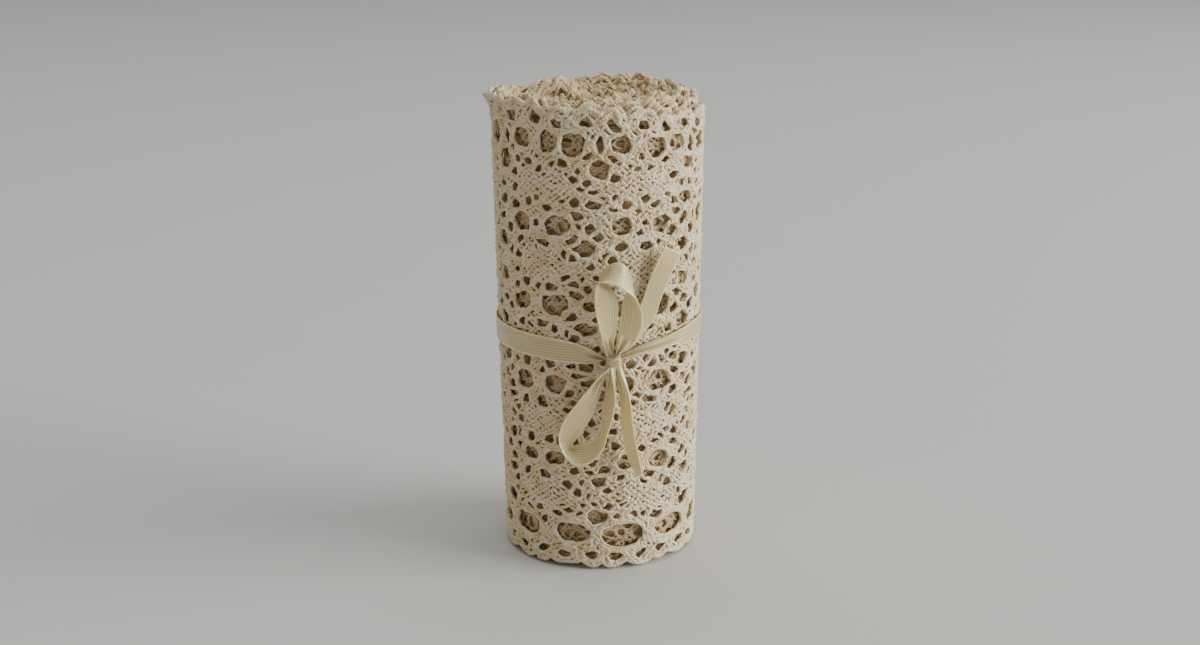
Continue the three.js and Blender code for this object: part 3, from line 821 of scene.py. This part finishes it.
def spin_yarn(name, yarns, sides, finish):
    counts = np.array([len(yarn) for yarn in yarns])
    last = np.cumsum(counts) - 1
    first = np.repeat(last - counts + 1, counts)
    along, up, out, thick, turn = np.vstack(yarns).T
    line = lay_on_turn(along, up, out, turn)
    index = np.arange(len(line))
    ends = np.repeat(last, counts)
    tips = (index == first) | (index == ends)
    forward = line[np.minimum(index + 1, ends)] - line[np.maximum(index - 1, first)]
    forward /= np.linalg.norm(forward, axis=1)[:, None]
    side = np.cross(forward, lay_on_turn(along, up, out + 1, turn) - line)
    side /= np.linalg.norm(side, axis=1)[:, None]
    face_out = np.cross(side, forward)
    spin = np.arange(sides) * 2 * np.pi / sides
    wide = (np.where(tips, TIP, 1.0) * thick)[:, None, None]
    spoke = np.multiply.outer(np.cos(spin), face_out) + np.multiply.outer(np.sin(spin), side)
    points = line[:, None] + wide * spoke.transpose(1, 0, 2)
    reach = np.concatenate([[0], np.cumsum(np.linalg.norm(np.diff(line, axis=0), axis=1))])
    reach = reach - reach[first]
    k = index[index != ends][:, None]
    a = np.arange(sides)[None]
    corners = [(k, a), (k, a + 1), (k + 1, a + 1), (k + 1, a)]
    faces = np.stack([row * sides + column % sides for row, column in corners], -1).reshape(-1, 4)
    twist = [np.stack(np.broadcast_arrays(reach[row], column / sides), -1) for row, column in corners]
    cloth = np.stack(twist, -2).reshape(-1, 2)
    lift = wide[:, :, 0] * (np.sin(spin) + 0.4 * np.cos(spin))[None]
    flat = np.stack([along[:, None] + 0.15 * lift, up[:, None] + 12 * turn[:, None] + lift], -1)
    flat = flat.reshape(-1, 2) - flat.reshape(-1, 2).min(0)
    flat = 0.005 + 0.99 * flat / flat.max()
    flat = flat[faces.reshape(-1)]
    piece = make_piece(name, points.reshape(-1, 3), faces.tolist(), cloth, flat, finish)
    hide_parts("lace_roll")


# %% [markdown]
# ## One turn of lace
# `lace_turn` lays both families of yarn on one turn of the spiral, and cuts them into separate
# yarns wherever the strip ends or the mask leaves a part out. `smoothed` adds a row between every
# two, on a smooth curve, so that yarns bend rather than kink.

# %% Lay a turn of lace
OVER = 0.27
CENTRE_OUT = -0.68
PLACE_SCATTER, OUT_SCATTER, THICK_SCATTER = 0.14, 0.12, 0.05
WAVES, WAVER = 14, 0.09
SEED = 11


def smoothed(yarn):
    longer = np.vstack([2 * yarn[0] - yarn[1], yarn, 2 * yarn[-1] - yarn[-2]])
    fine = np.repeat(yarn, 2, axis=0)[:-1]
    fine[1::2] = (9 * (longer[1:-2] + longer[2:-1]) - longer[:-3] - longer[3:])[: len(yarn) - 1] / 16
    return fine


def lace_turn(turn, low, high, chart, keep=None, centre=CENTRE_OUT):
    rng = np.random.default_rng(SEED + turn)
    rows = round((high - low) / STEP_UP)
    widest = int(math.radians(OUTER_END) * (TOP_RADIUS - TURN * turn) / STEP_ALONG) + 1
    steps = np.arange(-widest // 2, (rows + widest) // 2 + 2)
    i, j = np.meshgrid(steps, steps, indexing="ij")
    rest = np.stack([(j - i) * STEP_ALONG, low + (i + j) * STEP_UP], -1)
    heading = np.degrees(rest[..., 0] / (mean_radius(rest[..., 1]) - TURN * turn))
    level = i + j
    inside = (level >= 0) & (level <= rows) & (heading > -176) & (heading < OUTER_END)
    edge = (level <= 0) | (level >= rows)
    laid = []
    for slant in (1, -1):
        grid, mask, rim = rest, inside, edge
        if slant < 0:
            grid, mask, rim = rest.transpose(1, 0, 2), inside.T, edge.T
        spread = 1 + rng.uniform(0, 0.22, (len(grid), 1)) + np.zeros(mask.shape)
        moved = part_threads(grid, mask, np.array([slant * STEP_ALONG, STEP_UP]), chart, spread, rim)
        laid.append(moved if slant > 0 else moved.transpose(1, 0, 2))
    join = (laid[0] + laid[1]) / 2
    waves, phase = rng.normal(size=(WAVES, 2)) * 0.55, rng.uniform(0, 6.3, (WAVES, 1, 1, 2))
    waver = np.sin(np.einsum("ijk,wk->wij", rest, waves)[..., None] + phase).sum(0) * WAVER
    in_leaf = ~outside_leaves(rest.reshape(-1, 2), 0).reshape(level.shape)
    shown = inside if keep is None else inside & keep(heading, rest[..., 1])
    families = []
    for family in (0, 1):
        place = np.where(edge[..., None], join, laid[family]) + waver
        place += rng.normal(size=place.shape) * PLACE_SCATTER
        over = OVER * np.where((level + family) % 2 == 0, 1, -1)
        out = centre + over + rng.normal(size=level.shape) * OUT_SCATTER
        thick = YARN - 0.05 + 0.03 * in_leaf + rng.normal(size=level.shape) * THICK_SCATTER
        rows_of = np.concatenate([place, np.stack([out, thick, np.full(level.shape, turn)], -1)], -1)
        marks = shown
        if family == 1:
            rows_of, marks = rows_of.transpose(1, 0, 2), shown.T
        yarns = []
        for thread, row in zip(rows_of, marks):
            turns_on = np.flatnonzero(np.diff(np.concatenate([[0], row.astype(int), [0]])))
            yarns += [thread[a:b] for a, b in zip(turns_on[::2], turns_on[1::2]) if b - a > 2]
        families.append(yarns)
    return families


outer = lace_turn(0, EDGE_FOOT, EDGE_TOP, outer_chart)
for title, yarns in zip(("lace_rising", "lace_falling"), outer):
    for half in (0, 1):
        spin_yarn(f"{title}_{half + 1}", [smoothed(yarn) for yarn in yarns[half::2]], 5, outer_cotton)

# %% [markdown]
# ## The turn below
# Through every opening of the outer turn the next turn of the same lace shows. Its finish is a darker,
# browner copy of the same cotton: painted shade. It is pressed against the outer turn. Only the parts
# behind an opening are built, with a margin for looking in at a slant, and its upper and lower edges.
# Under pressure its own openings are smaller, and they show as dark spots inside those of the outer
# turn.

# %% Second turn
SECOND_SHARE, SECOND_LARGEST = 0.7, (2.8, 2.1)
MARGIN_ALONG, MARGIN_UP = 2.0, 1.4
large = outer_chart[outer_chart[:, 2] > 2.9]


def behind_openings(heading, up):
    along = np.radians(heading) * mean_radius(up)
    seen = (up > EDGE_TOP - 7) | (up < EDGE_FOOT + 3)
    for middle, level, wide, high, _ in large:
        near = np.abs(along - middle) < wide / 2 + MARGIN_ALONG
        seen |= near & (np.abs(up - level) < high / 2 + MARGIN_UP)
    return seen


second_chart = chart_round(1)
second_chart[:, 2:4] = np.minimum(second_chart[:, 2:4] * SECOND_SHARE, SECOND_LARGEST)
second_chart = np.vstack([second_chart, ground_eyes(second_chart, 6.7) * (1, 1, 1.2, 1.2, 1)])
second = lace_turn(1, EDGE_FOOT, EDGE_TOP, second_chart, behind_openings, CENTRE_OUT + 0.3)
for title, yarns in zip(("second_turn_rising", "second_turn_falling"), second):
    spin_yarn(title, yarns, 5, second_cotton_painted_shade)

# %% [markdown]
# ## The edges of all the turns
# Seen from above, the end of the roll is a spiral of scalloped edges, and from below it is the
# same again. Each turn further in gets the top 7 mm and the lowest 3 mm of its lace, and every
# edge gets a cord of three twisted yarns, which is how such lace ends. The innermost turn is a
# short curl that nearly closes the middle.

# %% Edges of the inner turns
inner_top, inner_foot = [], []
for turn in range(2, TURNS + 1):
    edge_chart = chart_round(turn)
    near_top = edge_chart[edge_chart[:, 1] > 121]
    for yarns in lace_turn(turn, EDGE_TOP - 9 * STEP_UP, EDGE_TOP, near_top):
        inner_top += yarns
    for yarns in lace_turn(turn, EDGE_FOOT, EDGE_FOOT + 4 * STEP_UP, near_top):
        inner_foot += yarns
# the inner turns and their cords get the darker, yellower cotton copy: painted shade
spin_yarn("inner_turns_top", inner_top, 5, inner_cotton_painted_shade)
spin_yarn("inner_turns_foot", inner_foot, 4, inner_cotton_painted_shade)


# %% Edge cords
STRANDS, CORD_PITCH, CORD_RADIUS = 3, 3.4, 0.34


def edge_cord(turn, up, thick):
    radius = mean_radius(up) - TURN * turn
    along = np.arange(math.radians(-170) * radius, math.radians(OUTER_END) * radius, CORD_PITCH / 4)
    strands = []
    for strand in range(STRANDS):
        swing = along * 2 * np.pi / CORD_PITCH + strand * 2 * np.pi / STRANDS
        level = up + CORD_RADIUS * np.sin(swing)
        out = CENTRE_OUT + CORD_RADIUS * np.cos(swing)
        strands.append(np.stack([along, level, out, 0 * along + thick, 0 * along + turn], -1))
    return strands


def edge_piece(name, turns, up, thick, finish):
    spin_yarn(name, [yarn for turn in turns for yarn in edge_cord(turn, up, thick)], 5, finish)


edge_piece("outer_edge_top", [0], EDGE_TOP, 0.42, outer_cotton)
edge_piece("outer_edge_foot", [0], EDGE_FOOT + 0.3, 0.4, outer_cotton)
edge_piece("inner_edges_top", range(1, TURNS + 1), EDGE_TOP, 0.42, inner_cotton_painted_shade)
edge_piece("inner_edges_foot", range(1, TURNS + 1), EDGE_FOOT + 0.3, 0.4, inner_cotton_painted_shade)

# %% [markdown]
# ## What lies deeper
# Between the yarns one looks into the roll. All its turns in real yarn would take millions of
# triangles that hardly show. A plain spiral of cloth, deeper than the second turn and between the
# upper and lower edges, stops the view, as the real turns do. Its finish is the darkest, brownest
# copy of the cotton: painted shade of the roll's inside. Each section is a few levels, from the foot
# up, and how far out the cloth stands there. Near the edges its far side turns outward and meets the
# next turn, and the spiral runs in to the roll's middle.


# %% Cloth below
def deep_spiral(name, headings, section):
    levels, out = np.transpose(section)
    heading, up = np.meshgrid(headings, levels, indexing="ij")
    sunk = np.where(up > 118, np.clip(turn_rise(heading), -6, 0), 0)
    sheet = on_spiral(heading, up + sunk, np.broadcast_to(out, up.shape))
    points = part_turns(sheet, heading, np.clip((up - 112) / 14, 0, 1) ** 2).reshape(-1, 3)
    across = len(levels)
    k, a = np.meshgrid(np.arange(len(headings) - 1), np.arange(across - 1), indexing="ij")
    corners = [(k, a), (k + 1, a), (k + 1, a + 1), (k, a + 1)]
    faces = np.stack([row * across + column for row, column in corners], -1).reshape(-1, 4)
    cells = np.stack([np.stack(pair, -1) for pair in corners], -2).reshape(-1, 2)
    flat = cells / (len(headings), across)
    piece = make_piece(name, points, faces.tolist(), cells * 3.0, flat, deep_cotton_painted_shade)
    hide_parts("lace_roll")


DEEPEST = OUTER_END - 360 * (TURNS + 1) + 40
deep_turns = np.arange(DEEPEST, -529, 10.0)
deep_spiral("deep_wall", np.arange(-570, -169, 5.0), [(up, -1.2) for up in range(2, 119, 29)])
deep_spiral("deep_turns_top", deep_turns, [(116, 0.7), (117, -0.4), (119, -1.0), (121.4, -1.0)])
deep_spiral("deep_turns_foot", deep_turns, [(2.4, -1.0), (6, -1.0), (8, 0.7)])

# %% [markdown]
# ## Floor and light
# The roll stands on a pale sheet in soft daylight that comes mostly from the right. One large lamp
# far off gives the direction, a second one overhead and a pale sky fill the shadows, and a low
# warm lamp at the left stands for the warm room that the shaded side faces.

# %% Floor and light
floor_mesh = bpy.data.meshes.new("floor")
floor_mesh.from_pydata([(-6, -6, 0), (6, -6, 0), (6, 6, 0), (-6, 6, 0)], [], [(0, 1, 2, 3)])
floor = bpy.data.objects.new("floor", floor_mesh)
bpy.context.scene.collection.objects.link(floor)
paper = new_finish("pale_paper", Base_Color=(0.62, 0.62, 0.60, 1), Roughness=0.85)[0]
floor_mesh.materials.append(paper)

lamps = [
    # name, place in metres, size, watts, colour
    ("window", (2.4, -0.35, 0.52), 1.8, 118.0, (1.0, 0.985, 0.95)),
    ("ceiling", (0.0, 0.3, 3.0), 2.5, 38.0, (1.0, 1.0, 1.0)),
    ("warm_room", (-1.2, -1.0, 0.3), 1.0, 2.0, (1.0, 0.76, 0.36)),
]
for name, place, size, watts, tint in lamps:
    lamp = bpy.data.lights.new(name, "AREA")
    lamp.size, lamp.energy, lamp.color = size, watts, tint
    holder = bpy.data.objects.new(name, lamp)
    holder.location = place
    aim = np.array([0, 0, 0.06]) - place
    holder.rotation_euler = (
        math.atan2(math.hypot(aim[0], aim[1]), -aim[2]),
        0,
        math.atan2(aim[1], aim[0]) - math.pi / 2,
    )
    bpy.context.scene.collection.objects.link(holder)

sky = bpy.data.worlds.new("sky")
sky.use_nodes = True
sky.node_tree.nodes["Background"].inputs["Color"].default_value = (0.98, 0.99, 1.0, 1)
sky.node_tree.nodes["Background"].inputs["Strength"].default_value = 0.3
bpy.context.scene.world = sky
